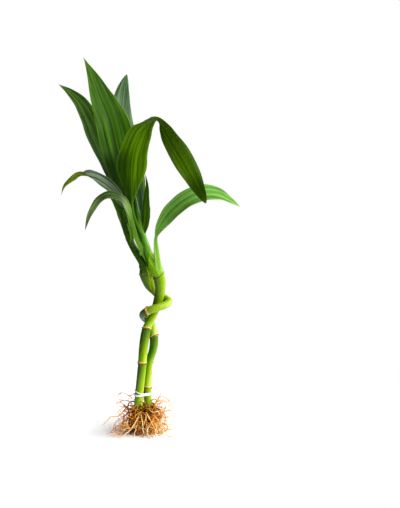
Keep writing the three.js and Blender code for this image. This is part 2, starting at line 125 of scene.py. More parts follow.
COILED_CANE = dict(
    seed=2.3,
    axis=[
        (5, 4.5, 12), (5, 4.5, 26), (4, 5, 39), (3.9, 5, 48), (4.7, 6, 61), (5.9, 7, 75), (10, 8, 88),
        (11, 10, 100), (9, 13, 111), (6, 15, 117), (1, 12, 122), (0, 3, 127), (4, -6, 132), (10, -10, 135),
        (16.5, -9.5, 137), (22.5, -6, 138.5), (26.3, 0.5, 140), (25.5, 8, 141), (20.5, 13.5, 143.5),
        (14, 14.5, 148), (8, 11, 155), (4.2, 7, 164), (2.7, 5, 172), (0.7, 4, 180), (-3.2, 5, 187),
        (-7.5, 6, 193.5), (-11.2, 7, 200), (-14.3, 8, 207), (-18, 8.5, 218), (-20, 9, 230), (-22, 9.5, 242),
        (-23.8, 10, 252),
    ],
    radii=[
        (12, 4.3), (48, 4.5), (75, 4.1), (102, 4.5), (132, 4.1), (150, 4.3), (160, 5.7), (170, 6.9),
        (178, 5.5), (184, 4.3), (200, 3.8), (218, 3.8), (230, 3.5), (242, 2.3), (252, 0.4),
    ],
    rings=[
        dict(height=48, bark=1, tilt=(0.08, 0)), dict(height=75.5, bark=0.9, nubs=(0, 190)),
        dict(height=102, bark=1, tilt=(-0.3, 0)), dict(height=133, bark=1),
        dict(height=171, bark=0.22), dict(height=180, bark=0.05),
    ],
    shoot=171,
    sheath=dict(low=140, high=181, middle=-12, half=88, narrowing=0.4),
    tones=[
        (0, (160, 178, 80)), (0.08, (146, 168, 42)), (0.3, (122, 154, 8)), (0.55, (96, 134, 2)),
        (0.8, (64, 104, 0)), (1, (44, 80, 0)),
    ],
    shoot_tones=[(0, (40, 84, 2)), (0.3, (48, 92, 2)), (0.7, (38, 80, 2)), (1, (32, 72, 2))],
    depths=(0.4, 1, 1, 0.7, 1, 1),
    # the husk's bright lime is partly painted light on the bulge, which faces the light
    husk=[(0.3, (176, 216, 8)), (0.55, (204, 236, 24)), (0.75, (220, 246, 60))],
    scars=[((0.0082, 0.0036, 0.0640), (196, 132, 18)), ((-0.0026, 0.0028, 0.1915), (216, 255, 120))],
)

# ---- leaves ----
LEAF_ROWS, LEAF_COLUMNS = 130, 48
BLADE_THICKNESS = 0.42
MIDRIB_THICKNESS, MIDRIB_HALF_WIDTH = 0.9, 1.1
PETIOLE_THICKNESS = 1.5
PETIOLE_BLEND = 0.12  # how far into the blade the petiole reaches, as a share of the length
FOOT_HALF_WIDTH, TIP_HALF_WIDTH = 1.8, 0.15
VEINS, VEIN_RISE = 9, 0.06
RIPPLE_RISE = 0.03
RIB_SPAN = (0.5, 0.9)
UNDER_SHADE = 0.55  # of the underside's valleys
PETIOLE_SHADE = (0.55, 0.72, 0.4)  # of a petiole's dark streaks
PETIOLE_COLOUR = (124, 178, 26)
# painted shade on the side of a blade that turns away from the light
PAINTED_LEAF_SHADE_COLOUR = (20, 50, 0)
SHADOW_COLOUR = (26, 56, 4)
EDGE_COLOUR = (134, 172, 60)
TIP_COLOUR = (150, 150, 70)
MOTTLE_COLOUR = (24, 56, 8)
GLOW_COLOUR = (150, 190, 10)

# Each leaf: half_width is the blade's and foot_half_width the petiole's, which takes up a share of the
# length (petiole) and narrows sooner with a higher taper. The blade widens and narrows more slowly with a
# higher rise and fall. gutter folds up its margins, and fold adds to that near the petiole. pleat is the
# height of its folds, wave makes its margins wavy, and channel hollows the petiole. belly and curl are humps
# (place, width, amount) in the blade's width and in its margins. The route is the midrib's, and faces are
# directions of the upper face, one for each point of the route or spread evenly along it.
#
# Its colours are those of rib and valley on the upper face, the underside and the petiole (stalk). A vein's
# brightness goes from valley to rib within span. A painted side shade darkens the leaf from one place across
# it to another, by an amount, up to a share of the length. margin colours its edges from a share of the
# length on, and shadows paint shade on it, or tint it, between two shares.
LEAVES = dict(
    leaf_tall=dict(
        half_width=19, foot_half_width=3, petiole=0.1, rise=0.95, fall=1.25,
        gutter=0.16, pleat=0.34, wave=0.02,
        route=[
            (-15.2, 8, 217), (-16.4, 7.2, 236), (-18.4, 5, 257), (-21, 2, 282), (-27, 0, 310), (-33, 0, 334),
            (-42.5, 2, 356), (-52.5, 5, 380), (-61, 8, 397),
        ],
        faces=[(0.5, -0.8, 0.1), (0.35, -0.95, 0.1), (0.3, -0.95, 0.15), (0.35, -0.9, 0.2)],
        rib=(74, 120, 16), valley=(16, 50, 0), under=(80, 124, 44), seed=1,
        shadows=[(-0.1, 0.42, 0.9, (14, 42, 0))],
    ),
    leaf_left=dict(
        half_width=11.5, petiole=0.12, rise=1.25, fall=1.05, gutter=0.35, pleat=0.25, wave=0.03,
        route=[
            (-19.8, 10.6, 218.2), (-23.2, 14, 242.5), (-29, 17, 262.5), (-38, 21, 285.5), (-48.5, 26, 309),
            (-57, 30, 331), (-67, 34, 348.5), (-78, 37, 360), (-90, 40, 368),
        ],
        faces=[(0.6, -0.7, 0.1), (0.5, -0.85, 0.3), (0.35, -0.85, 0.45), (0.2, -0.75, 0.65)],
        rib=(80, 122, 34), valley=(16, 50, 0), under=(70, 112, 40), seed=2, shadows=[(-0.1, 0.42, 0.6)],
    ),
    leaf_back_right=dict(
        half_width=13.4, foot_half_width=2.6, petiole=0.04, rise=0.95, fall=0.76,
        gutter=0.3, fold=0.9, pleat=0.3, wave=0.03,
        route=[
            (1, 1.5, 213), (-2.2, 4, 222), (-4.6, 8, 235), (-7, 14, 250), (-12.5, 22, 274), (-18.5, 29, 299),
            (-23.5, 36, 325), (-24.2, 40, 342), (-22.6, 43, 357), (-20.6, 45, 368), (-17.8, 47, 378.5),
        ],
        faces=[(0, -1, 0.2), (0.15, -0.95, 0.3), (0.1, -0.95, 0.35), (-0.2, -0.9, 0.3)],
        # painted sheen: its pale blue-grey rib colour is partly painted gloss, and the pale tint from 0.6 to
        # 0.84 of its length is painted sheen
        rib=(116, 156, 104), valley=(20, 56, 16), under=(84, 124, 70), seed=3, shine=0.2,
        stalk=(96, 146, 20), span=(0.55, 0.9), shadows=[(0.6, 0.84, 0.15, (190, 220, 190))],
    ),
    leaf_front=dict(
        half_width=13.9, foot_half_width=2.4, petiole=0.2, rise=0.6, fall=0.62,
        gutter=0.05, pleat=0.14, folds=5, wave=0.015, belly=(0.35, 0.075, 5),
        route=[
            (1.2, -2, 205), (-3.4, -5, 217), (-7.6, -10, 228), (-9.8, -15, 238), (-10.6, -22, 254),
            (-10.3, -29, 275), (-9, -35, 294), (-5.1, -40, 309.1), (-1.3, -43, 318.9), (2.2, -45.5, 325.6),
            (5.9, -47.5, 329.8), (9.2, -49, 332.7), (12.3, -50, 334.7), (15.3, -50.5, 335.4),
            (18.4, -51, 334), (21.4, -51.5, 330.5), (24.9, -51.5, 325.2), (28.8, -51.5, 318.2),
            (37, -50.5, 304.3), (44.9, -49, 291.1), (51.9, -47, 278.8), (57, -45, 268.4),
            (61.5, -43.5, 259.6), (66.1, -42, 249.8),
        ],
        faces=[
            (0.1, 0.95, 0.2), (0.1, 0.95, 0.2), (0.05, 0.95, 0.2), (0, 0.95, 0.25), (0, 0.95, 0.25),
            (-0.02, 0.95, 0.25), (-0.05, 0.95, 0.25), (-0.12, 0.97, 0.2), (-0.33, 0.91, 0.25),
            (-0.56, 0.68, 0.38), (-0.62, 0.46, 0.6), (-0.62, 0.31, 0.72), (-0.4, 0.2, 0.9), (0.1, 0.17, 0.97),
            (0.58, 0.2, 0.78), (0.74, 0.3, 0.56), (0.72, 0.47, 0.44), (0.65, 0.63, 0.38), (0.44, 0.86, 0.25),
            (0.25, 0.95, 0.15), (0.15, 0.98, 0.1), (0.15, 0.98, 0.1), (0.15, 0.98, 0.1), (0.15, 0.98, 0.1),
        ],
        rib=(60, 104, 4), valley=(16, 44, 0), under=(100, 148, 2), seed=4, shine=0.03,
        through=0.2, stalk=(150, 190, 40), lean=(-0.6, 0.6, 0.85, 0.48), margin=(0.7, 0.5, (120, 164, 56)),
        shadows=[(-0.1, 0.26, 0.45), (0.64, 1.1, 0.3), (0.9, 1.1, 0.75, (10, 36, 0))],
    ),
    leaf_right=dict(
        half_width=11, foot_half_width=4.8, taper=0.9, petiole=0.26, rise=0.95, fall=1,
        gutter=0.22, pleat=0.25, wave=0.03, channel=-0.4,
        route=[
            (16.6, -8.7, 168.5), (16.6, -9.6, 174), (15.9, -10.2, 182), (15.1, -10.9, 190.5),
            (14.5, -11.8, 199), (14, -13, 209), (16, -14, 217), (21.5, -15, 227), (30.5, -17, 238),
            (41.5, -18, 247.5), (53.5, -17, 254.5), (66, -14, 257.5), (79, -10, 256), (91, -6, 250),
            (102, -2, 242),
        ],
        faces=[
            (0.1, -0.95, 0), (0.1, -0.95, 0.1), (-0.35, -0.8, 0.5), (-0.1, -0.75, 0.65), (0.2, -0.6, 0.75),
        ],
        # its pale stalk colour is partly a painted highlight along the petiole
        rib=(130, 184, 82), valley=(56, 118, 18), under=(84, 134, 34), seed=5, stalk=(206, 236, 120),
    ),
    leaf_droop_upper=dict(
        half_width=7.3, foot_half_width=2.3, taper=0.4, petiole=0.3, rise=0.7, fall=1.2,
        gutter=0.2, pleat=0.35, wave=0.02, curl=(0.74, 0.07, 0.5),
        route=[
            (-12.2, 6.5, 202), (-12.2, 3.6, 212), (-13.6, 0, 224), (-16.4, -3, 237), (-22, -6, 248),
            (-29, -10, 259), (-37, -15, 267), (-46, -19, 273.2), (-54, -21.5, 276), (-58, -22.6, 276.6),
            (-62, -23.4, 276.6), (-67, -24.5, 275.4), (-73.5, -26, 271.6), (-79.5, -27, 265.5),
            (-82.5, -27, 256.5),
        ],
        faces=[
            (0.5, -0.85, 0.1), (0.5, -0.85, 0.1), (0.5, -0.85, 0.1), (0.5, -0.8, 0.2), (0.4, -0.8, 0.4),
            (0.25, -0.8, 0.6), (0.15, -0.75, 0.65), (0.1, -0.7, 0.7), (0, -0.6, 0.8), (-0.05, -0.25, 0.95),
            (-0.15, 0.35, 0.9), (-0.35, 0.75, 0.55), (-0.5, 0.8, 0.35), (-0.65, 0.75, 0.15), (-0.75, 0.65, 0),
        ],
        # its grey rib colour is partly painted reflection of the white surroundings
        rib=(112, 130, 104), valley=(10, 30, 6), under=(118, 142, 0), seed=6, shine=0.1,
        stalk=(146, 190, 36), span=(0.56, 0.84), shadows=[(0.3, 0.52, 0.5)],
    ),
    leaf_droop_lower=dict(
        half_width=6.2, foot_half_width=3.4, taper=0.35, petiole=0.38, rise=0.75, fall=0.75,
        gutter=0.2, pleat=0.25, wave=0.02,
        route=[
            (10.5, -2.5, 178), (3.8, -3.6, 188), (-1.6, -5.7, 198), (-6.1, -8, 208), (-9, -11, 220),
            (-11.8, -17, 234), (-16, -24, 246), (-20.5, -30, 253), (-28.5, -36, 257), (-35.5, -39, 257),
            (-42, -42, 253), (-47.5, -44, 246), (-52, -45, 238), (-55, -46, 230), (-57, -46, 223),
        ],
        faces=[
            (0.4, -0.9, 0.1), (0.35, -0.8, 0.45), (0, -0.7, 0.7), (-0.5, -0.6, 0.6), (-0.85, -0.45, 0.25),
        ],
        # its pale grey rib colour is partly painted light on a face that turns away from the lamps
        rib=(176, 196, 136), valley=(44, 80, 16), under=(104, 140, 34), seed=7,
        stalk=(120, 170, 30), lean=(0.9, -0.4, 0.85, 0.46),
        shadows=[(-0.1, 0.5, 0.6, (92, 138, 34)), (0.59, 0.77, 0.8), (0.82, 0.96, 0.4, (150, 196, 84))],
    ),
    leaf_narrow=dict(
        half_width=5.4, foot_half_width=2.6, petiole=0.02, rise=0.6, fall=0.9,
        gutter=0.55, pleat=0, wave=0.02,
        route=[
            (-0.6, -1, 209), (0.9, -3.2, 220), (2, -6.5, 231), (2.4, -10, 245), (3.5, -11.5, 256),
            (4.5, -10.5, 266), (3.5, -8, 277),
        ],
        faces=[(0.3, 0.9, 0.1), (0.6, 0.75, 0.2), (0.75, 0.6, 0.2), (0.8, 0.5, 0.2)],
        rib=(44, 80, 4), valley=(12, 42, 0), under=(68, 110, 6), seed=8, shine=0.03,
    ),
    leaf_back=dict(
        half_width=12, petiole=0.16, rise=0.8, fall=0.9, gutter=0.2, pleat=0.3, wave=0.03,
        route=[
            (0.5, 2.4, 222.8), (-4, 12.5, 234), (-7, 24, 252), (-11, 39, 268), (-15, 56, 280), (-19, 74, 284),
            (-22, 90, 279),
        ],
        faces=[(0, -1, 0.2), (0, -0.8, 0.6), (0.05, -0.4, 0.9), (0.05, 0.1, 1), (0, 0.5, 0.8)],
        rib=(66, 118, 30), valley=(22, 70, 6), under=(72, 114, 40), seed=9,
    ),
    leaf_folded=dict(
        half_width=6.5, foot_half_width=2.6, petiole=0.08, rise=0.7, fall=0.8,
        gutter=0.45, pleat=0, wave=0.02,
        route=[
            (-17.2, 11.8, 204), (-20, 14.5, 213), (-24.5, 19, 226), (-29.5, 27, 238), (-34, 37, 246.5),
            (-37.5, 49, 250), (-40, 60, 248),
        ],
        faces=[(0.9, -0.3, 0.1), (0.8, -0.4, 0.4), (0.7, -0.4, 0.6), (0.5, 0, 0.85), (0.4, 0.4, 0.8)],
        rib=(70, 120, 8), valley=(22, 58, 0), under=(64, 114, 8), seed=10,
    ),
)

# ---- roots ----
ROOT_SEED = 3
CANE_FEET = [(-5.5, 1.5), (6, 4.5)]
ROOT_STEP, RING_SPACING = 1.9, 1.1
ROOT_SIDES, ROOTLET_SIDES, SEEN_SIDES = 6, 4, 8
ROOT_TIP, ROOTLET_TIP, SEEN_TIP = 0.26, 0.15, 0.3
DOME_RADIUS, DOME_HEIGHT = 44, 41  # the roots stay under a dome
ROOT_SPREAD = 41
SHAKEN_STEP, SHAKE, STEADY_START = 1.6, 0.22, 6
# painted shade in the middle of the root mass
PAINTED_ROOT_CORE_SHADE = (46, 14, 0)
ROOT_TONES = [
    (0, (84, 30, 0)), (0.2, (158, 70, 0)), (0.42, (208, 110, 2)), (0.6, (228, 154, 44)),
    (0.8, (246, 214, 142)), (1, (255, 248, 226)),
]

# Roots by kind: how many, how far out and how high they end, their radius at the start, and their number
# of side roots, up to but without the second value.
ROOT_KINDS = [
    (90, (3, 14), (0.6, 22), (0.5, 1.0), (1, 4)),
    (60, (9, 21), (0.6, 4), (0.4, 0.8), (1, 4)),
    (44, (10, 22), (5, 26), (0.35, 0.65), (1, 5)),
    (16, (24, 38), (0.6, 3), (0.35, 0.6), (1, 4)),
    (14, (22, 37), (5, 26), (0.3, 0.45), (1, 4)),
]

# Roots that stand out in front and at the sides: radius, paleness and the way they run.
SEEN_ROOTS = [
    (0.85, 0.5, (-8, -4, 27), (-16.4, -6, 26.8), (-22, -10, 24.1), (-27.3, -12, 20.1), (-33.4, -14, 20.6),
     (-37.2, -15, 17.5), (-41.3, -17, 13.8), (-45.2, -18, 10.8)),
    (0.6, 0.6, (-14, -6, 18), (-21, -12, 16), (-26, -16, 9), (-31, -19, 4), (-36, -20, 1.5)),
    (0.6, 0.42, (-8, 0, 22), (-18, 0, 26), (-24, -2, 33), (-28, -2, 33), (-31, -2, 36)),
    (0.95, 0.95, (-4, -9, 22), (-7, -17, 17), (-13, -24, 9), (-17, -28, 6), (-23, -31, 1)),
    (0.6, 0.95, (2, -10, 20), (4, -18, 12), (5, -24, 5), (6, -27, 1)),
    (0.5, 0.9, (-6, -9, 16), (-7, -18, 10), (-9, -25, 4), (-8, -29, 1)),
    (0.6, 1, (10, -8, 16), (14, -16, 10), (13, -22, 6), (16, -27, 1)),
    (0.5, 1, (6, -12, 28), (11, -14, 25), (15, -13, 26), (17, -12, 22)),
    (0.9, 0.95, (-3, -9, 24), (-1, -17, 16), (0, -22, 8), (1, -25, 3)),
    (0.8, 0.95, (3, -9, 24), (8, -17, 16), (12, -21, 10), (16, -24, 4)),
    (0.9, 0.8, (12, -6, 22), (10, -15, 16), (6, -20, 10), (3, -23, 3)),
    (0.7, 0.55, (8, 0, 34), (11, 0, 36), (15, 0, 35), (19, 0, 44)),
    (0.6, 0.7, (14, 0, 30), (21, 1, 33), (26, 1, 34), (30, 0, 38)),
    (0.6, 0.8, (16, -4, 22), (24, -4, 24), (30, -6, 25), (34, -7, 18), (37, -8, 10)),
    (0.5, 0.6, (-10, -6, 26), (-14, -4, 34), (-13, -3, 39), (-19, -4, 40)),
    (0.8, 0.6, (-6, -6, 16), (-18, -16, 8), (-27, -22, 3), (-33, -24, 1)),
    (0.7, 0.9, (8, -6, 14), (18, -16, 7), (26, -20, 2), (32, -22, 1)),
]

# ---- tie ----
TIE_HEIGHT = 41.5
THREAD_STEPS, THREAD_SIDES = 220, 10
THREAD_TONES = (196, 198, 190), (248, 248, 244)

# Strands: how far their middle is from the canes' skin, how much they sag in front and rise to the left,
# how far they are shifted up, and their radius.
STRANDS = [(0.67, 0.8, 0, 0.5, 0.5), (0.67, 0.8, 0, -0.45, 0.5), (0.62, 0, 4.4, 0, 0.45)]


# ---- helpers for shapes ----
def unit(v):
    return v / np.maximum(np.linalg.norm(v, axis=-1, keepdims=True), 1e-12)


def ease(x, low, high):
    """0 at low, 1 at high, and a smooth way between them."""
    t = np.clip((x - low) / (high - low), 0, 1)
    return t * t * (3 - 2 * t)


def hump(x, middle, width, height=1.0):
    """A smooth hump, nearly gone two widths from its middle."""
    return height * np.exp(-(((x - middle) / width) ** 2))


def value_at(pairs, position):
    """A value from a list of (position, value) pairs, eased between them."""
    at, value = np.array(pairs, float).T
    place = np.clip(np.searchsorted(at, position, side="right"), 1, len(at) - 1)
    share = ease(position, at[place - 1], at[place])
    return value[place - 1] + (value[place] - value[place - 1]) * share


def rows_at(places, known, rows):
    """Rows of values at places, straight between the known ones."""
    return np.stack([np.interp(places, known, column) for column in np.transpose(rows)], axis=1)


def between(t, low, high, a, b):
    """A straight way from a, when t is low, to b, when t is high."""
    return (high - t) / (high - low) * a + (t - low) / (high - low) * b


def distances(points):
    """How far along a line each of its points is."""
    return np.concatenate([[0], np.cumsum(np.linalg.norm(np.diff(points, axis=0), axis=1))])


def dense_route(points):
    """Close points along the centripetal curve through points, and how far along each one is."""
    p = np.array(points, float)
    p = np.vstack([2 * p[0] - p[1], p, 2 * p[-1] - p[-2]])
    out = []
    for i in range(len(p) - 3):
        a, b, c, d = p[i : i + 4]
        t1 = np.linalg.norm(b - a) ** 0.5
        t2 = t1 + np.linalg.norm(c - b) ** 0.5
        t3 = t2 + np.linalg.norm(d - c) ** 0.5
        t = np.linspace(t1, t2, ROUTE_STEPS, endpoint=i == len(p) - 4)[:, None]
        ab, bc, cd = between(t, 0, t1, a, b), between(t, t1, t2, b, c), between(t, t2, t3, c, d)
        abc, bcd = between(t, 0, t2, ab, bc), between(t, t1, t3, bc, cd)
        out.append(between(t, t1, t2, abc, bcd))
    line = np.vstack(out)
    return line, distances(line)


def route_length(points):
    return dense_route(points)[1][-1]


def route_shares(points):
    """How far along its curve each of the points is, from 0 to 1."""
    far = dense_route(points)[1]
    return np.append(far[:-1:ROUTE_STEPS], far[-1]) / far[-1]


def along_route(points, stations):
    """Places and directions at the given distances along a route."""
    line, far = dense_route(points)
    heading = unit(np.gradient(line, axis=0))
    return rows_at(stations, far, line), unit(rows_at(stations, far, heading))


def carried_sides(ahead):
    """A sideways direction for each step, turned as little as possible."""
    side = np.array([1.0, 0, 0]) if abs(ahead[0][0]) < 0.9 else np.array([0, 1.0, 0])
    sides = []
    for a in ahead:
        side = unit(side - a * np.dot(side, a))
        sides.append(side)
    return np.array(sides)


def outward_rings(sideways, ahead, count):
    """Directions straight out from a line, in a ring at each of its places."""
    angle = np.linspace(0, 2 * np.pi, count, endpoint=False)[None, :, None]
    upward = np.cross(ahead, sideways)
    return sideways[:, None, :] * np.cos(angle) + upward[:, None, :] * np.sin(angle)


def tube(places, sideways, ahead, radius, count):
    """Rings of points round places. radius is one number, or one for each place."""
    radius = np.broadcast_to(radius, len(places))
    return places[:, None, :] + outward_rings(sideways, ahead, count) * radius[:, None, None]


def new_object(name, data):
    thing = bpy.data.objects.new(name, data)
    bpy.context.scene.collection.objects.link(thing)
    return thing


class Soup:
    """Vertices, faces and named values of one mesh, gathered from several grids."""

    def __init__(self):
        self.points, self.faces, self.values, self.count = [], [], {}, 0

    def grid(self, points, caps=True, **values):
        """Adds closed rings of points, shape (rings, sides, 3), with values that fit (rings, sides)."""
        rings, sides = points.shape[:2]
        base = self.count
        i, j = np.meshgrid(np.arange(rings - 1), np.arange(sides), indexing="ij")
        here, there, following = base + i * sides, base + (i + 1) * sides, (j + 1) % sides
        quads = np.stack([here + j, here + following, there + following, there + j], axis=-1)
        self.faces += quads.reshape(-1, 4).tolist()
        if caps:
            last = base + (rings - 1) * sides
            self.faces.append(list(range(base, base + sides))[::-1])
            self.faces.append(list(range(last, last + sides)))
        self.points.append(points.reshape(-1, 3))
        for name, value in values.items():
            self.values.setdefault(name, []).append(np.broadcast_to(value, (rings, sides)).reshape(-1))
        self.count += rings * sides

    def piece(self, name, material):
        mesh = bpy.data.meshes.new(name)
        points = np.vstack(self.points) * MM
        mesh.from_pydata(points.tolist(), [], self.faces)
        for value_name, parts in self.values.items():
            layer = mesh.attributes.new(value_name, "FLOAT", "POINT")
            layer.data.foreach_set("value", np.concatenate(parts).astype(np.float32))
        mesh.shade_smooth()
        mesh.materials.append(material)
        piece = new_object(name, mesh)
        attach(piece, "root")
        return piece


# ---- helpers for materials ----
def linear(colour):
    """A colour from 0 to 255 as linear values. A socket stays as it is."""
    if isinstance(colour, bpy.types.NodeSocket):
        return colour
    share = np.array(colour, float) / 255
    return tuple(np.where(share <= 0.04045, share / 12.92, ((share + 0.055) / 1.055) ** 2.4)) + (1.0,)


class Nodes:
    """Short ways to add shader nodes to a new material or world."""

    def __init__(self, owner):
        owner.use_nodes = True
        self.owner = owner
        self.tree = owner.node_tree
        self.tree.nodes.clear()

    def add(self, kind, inputs=(), **settings):
        """A new node. An input is a socket to link, a value to set, or None."""
        node = self.tree.nodes.new(kind)
        for key, value in settings.items():
            setattr(node, key, value)
        for socket, value in dict(inputs).items():
            if isinstance(value, bpy.types.NodeSocket):
                self.tree.links.new(value, node.inputs[socket])
            elif value is not None:
                node.inputs[socket].default_value = value
        return node

    def attribute(self, name):
        return self.add("ShaderNodeAttribute", attribute_name=name).outputs["Fac"]

    def place(self):
        return self.add("ShaderNodeTexCoord").outputs["Object"]

    def math(self, kind, a, b=0.0):
        return self.add("ShaderNodeMath", {0: a, 1: b}, operation=kind).outputs[0]

    def times(self, a, b):
        return self.math("MULTIPLY", a, b)

    def plus(self, total, *more):
        for part in more:
            total = self.math("ADD", total, part)
        return total

    def vectors(self, kind, a, b=(0, 0, 0)):
        """Vector maths. LENGTH and DOT_PRODUCT give a number, the others a vector."""
        node = self.add("ShaderNodeVectorMath", {0: a, 1: b}, operation=kind)
        return node.outputs["Value" if kind in ("LENGTH", "DOT_PRODUCT") else "Vector"]

    def ease(self, value, low, high, to_low=0.0, to_high=1.0):
        inputs = {"Value": value, "From Min": low, "From Max": high, "To Min": to_low, "To Max": to_high}
        return self.add("ShaderNodeMapRange", inputs, interpolation_type="SMOOTHSTEP").outputs[0]

    def noise(self, vector, scale=1.0, detail=2.0, roughness=0.5):
        inputs = {"Vector": vector, "Scale": scale, "Detail": detail, "Roughness": roughness}
        return self.add("ShaderNodeTexNoise", inputs).outputs["Fac"]

    def stretched(self, x, x_scale, y, y_scale, z=0.0, **settings):
        """Noise over two values, each with its own scale. Another z gives another pattern."""
        inputs = {0: self.times(x, x_scale), 1: self.times(y, y_scale), 2: z}
        return self.noise(self.add("ShaderNodeCombineXYZ", inputs).outputs[0], **settings)

    def mix(self, share, a, b):
        """A share of b over a. Each of the two is a colour from 0 to 255 or a socket."""
        inputs = {"Factor": share, 6: linear(a), 7: linear(b)}
        return self.add("ShaderNodeMix", inputs, data_type="RGBA").outputs[2]

    def ramp(self, value, stops):
        node = self.add("ShaderNodeValToRGB", {"Fac": value})
        band = node.color_ramp
        band.elements[0].position = stops[0][0]
        band.elements[1].position = stops[-1][0]
        for at, _ in stops[1:-1]:
            band.elements.new(at)
        for element, (_, colour) in zip(band.elements, stops):
            element.color = linear(colour)
        return node.outputs["Color"]

    def bump(self, height, distance, strength, below=None):
        inputs = {"Height": height, "Distance": distance, "Strength": strength, "Normal": below}
        return self.add("ShaderNodeBump", inputs).outputs[0]

    def skin(self, colour, roughness, normal=None, shine=0.5):
        inputs = {"Base Color": colour, "Roughness": roughness, "Normal": normal, "Specular IOR Level": shine}
        return self.add("ShaderNodeBsdfPrincipled", inputs).outputs[0]

    def blend(self, share, a, b):
        return self.add("ShaderNodeMixShader", {0: share, 1: a, 2: b}).outputs[0]

    def glowing(self, share, skin, colour, normal=None):
        """A skin that lets a share of the light through, in a colour."""
        glow = self.add("ShaderNodeBsdfTranslucent", {"Color": colour, "Normal": normal})
        return self.blend(share, skin, glow.outputs[0])

    def finish(self, surface, kind="ShaderNodeOutputMaterial"):
        self.add(kind, {"Surface": surface})
        return self.owner


# ---- leaf material ----
def leaf_material(name, leaf):
    n = Nodes(bpy.data.materials.new(name + "_skin"))
    across, along, side = n.attribute("across"), n.attribute("along"), n.attribute("side")
    edge = n.math("ABSOLUTE", across)
    seed = float(leaf["seed"])
    fine = n.stretched(side, 0.6, along, 1.5, seed, detail=2, roughness=0.6)
    stripe = n.stretched(side, 0.28, along, 1.2, seed + 9, detail=1)
    broad = n.stretched(across, 5, along, 1.6, seed + 20, detail=1)
    mottle = n.noise(n.place(), scale=70, detail=3)

    # Light ribs and dark valleys run along both faces.
    light = n.plus(
        n.times(n.attribute("rib"), 0.1), n.times(broad, 0.5), n.times(fine, 0.45), n.times(stripe, 0.38)
    )
    light = n.ease(light, *leaf.get("span", RIB_SPAN))
    top = n.mix(light, leaf["valley"], leaf["rib"])
    under = n.mix(light, np.multiply(leaf["under"], UNDER_SHADE), leaf["under"])
    colour = n.mix(n.attribute("upper"), under, top)

    midrib = n.times(n.ease(edge, 0.1, 0.0), n.ease(along, 0.75, 0.1, 0, 0.7))
    colour = n.mix(midrib, colour, PETIOLE_COLOUR)
    pale = leaf.get("stalk", PETIOLE_COLOUR)
    stalk = n.mix(n.ease(fine, 0.35, 0.7), np.multiply(pale, PETIOLE_SHADE), pale)
    colour = n.mix(n.ease(n.attribute("stalk"), 0.1, 0.9), colour, stalk)

    # painted shade across one side of the leaf, where it turns away from the light
    if "lean" in leaf:
        inner, outer, amount, until = leaf["lean"]
        lean = n.times(n.ease(across, inner, outer), n.ease(along, until, until - 0.12, 0, amount))
        colour = n.mix(lean, colour, PAINTED_LEAF_SHADE_COLOUR)
    if "margin" in leaf:
        start, amount, tint = leaf["margin"]
        margin = n.times(n.ease(edge, 0.45, 0.85, 0, amount), n.ease(along, start - 0.06, start + 0.06))
        colour = n.mix(margin, colour, tint)
    for low, high, amount, *tint in leaf.get("shadows", ()):
        patch = n.times(n.ease(along, low - 0.08, low + 0.04), n.ease(along, high + 0.08, high - 0.04))
        colour = n.mix(n.times(patch, amount), colour, *tint or [SHADOW_COLOUR])
    colour = n.mix(n.ease(edge, 0.93, 1.0, 0, 0.5), colour, EDGE_COLOUR)
    colour = n.mix(n.ease(along, 0.965, 1.0, 0, 0.15), colour, TIP_COLOUR)
    colour = n.mix(n.ease(mottle, 0.35, 0.75, 0, 0.22), colour, MOTTLE_COLOUR)

    normal = n.bump(mottle, 0.0003, 0.14, n.bump(fine, 0.00016, 0.35))
    skin = n.skin(colour, n.ease(fine, 0.3, 0.75, 0.34, 0.5), normal, leaf.get("shine", 0.06))
    glow_colour = n.mix(0.45, colour, GLOW_COLOUR)
    return n.finish(n.glowing(leaf.get("through", 0.22), skin, glow_colour, normal))


# ---- leaf shape ----
def leaf_directions(leaf, share):
    """Places along the midrib, and the directions across the leaf and up from its upper face."""
    place, ahead = along_route(leaf["route"], share * route_length(leaf["route"]))
    one_for_each_point = len(leaf["faces"]) == len(leaf["route"])
    at = route_shares(leaf["route"]) if one_for_each_point else np.linspace(0, 1, len(leaf["faces"]))
    across = unit(np.cross(ahead, unit(rows_at(share, at, leaf["faces"]))))
    return place, across, np.cross(across, ahead)


def leaf_outline(leaf, share):
    """How much the leaf is blade and petiole along its length, and its half width."""
    q = np.clip((share - leaf["petiole"]) / (1 - leaf["petiole"]), 0, 1)
    peak = leaf["rise"] / (leaf["rise"] + leaf["fall"])
    top = peak ** leaf["rise"] * (1 - peak) ** leaf["fall"]
    blade = q ** leaf["rise"] * (1 - q) ** leaf["fall"] / top
    petiole = np.clip(1 - share / (leaf["petiole"] + PETIOLE_BLEND), 0, 1)
    foot = leaf.get("foot_half_width", FOOT_HALF_WIDTH)
    stalk = TIP_HALF_WIDTH + (foot - TIP_HALF_WIDTH) * petiole ** leaf.get("taper", 0.5)
    broad = leaf["half_width"] * blade + hump(share, *leaf.get("belly", NO_CHANGE))
    return blade, petiole, (broad**5 + stalk**5) ** 0.2


def leaf_relief(leaf, s, u, blade, stalk, half):
    """How far the leaf lies above its plane, and its folds, which the colours follow."""
    far, seed = np.abs(u), leaf["seed"]
    phase = seed * 1.7
    shift = 0.7 * np.sin(2 * u + 1) + 0.5 * np.sin(3 * s + seed)
    folds = np.cos(leaf.get("folds", 3) * np.pi * u + shift) * (0.75 + 0.25 * np.sin(4 * u + 2))
    pleat = -0.5 * leaf["pleat"] * blade * folds * (1 - 0.7 * ease(far, 0.75, 1))
    veins = VEIN_RISE * blade * np.cos(VEINS * np.pi * u + 2 * np.sin(3 * s + phase))
    wave = 2 * leaf["wave"] * half * u**2 * np.sin(21 * s + 2 * u)
    ripple = RIPPLE_RISE * half * far**3 * np.sin(47 * s + phase + 3 * np.sign(u))
    channel = leaf.get("channel", 0.55) * stalk * half * u**2
    curl = half * u**2 * hump(s, *leaf.get("curl", NO_CHANGE))
    gutter = leaf["gutter"] + leaf.get("fold", 0) * (1 - ease(s, 0.1, 0.5))
    return gutter * half * blade * far**1.3 + pleat + veins + wave + ripple + channel + curl, folds


